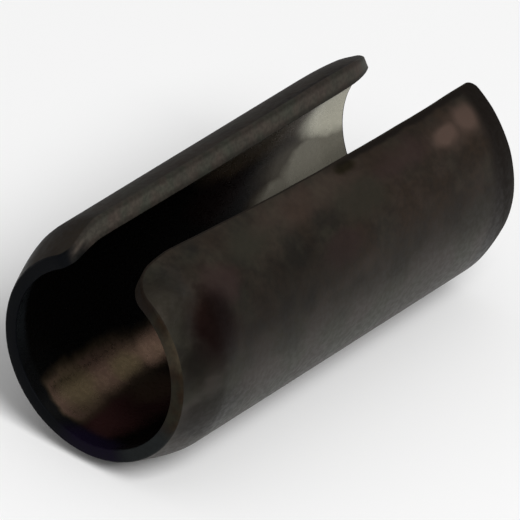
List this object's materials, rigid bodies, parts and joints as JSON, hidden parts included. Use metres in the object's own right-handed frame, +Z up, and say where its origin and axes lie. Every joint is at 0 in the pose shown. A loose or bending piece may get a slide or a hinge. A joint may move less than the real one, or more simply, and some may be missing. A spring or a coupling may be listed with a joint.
{
  "type": "spring roll pin",
  "caption": "Slotted spring pin rolled from one strip of spring steel, with a full-length slot and a swaged taper at each end.",
  "frame": {"origin": "on the surface that the pin lies on, under the middle of its length and its axis", "axes": "+X along the pin's axis, +Y towards the slot's straight lip, +Z up through the slot"},
  "size_m": [0.0226, 0.0104, 0.0102],
  "materials": {
    "spring_steel": "blackened and oiled spring steel, dull and mottled, worn brown-grey in patches"
  },
  "bodies": {
    "root": {"spring_pin": "spring_steel"}
  },
  "joints": []
}
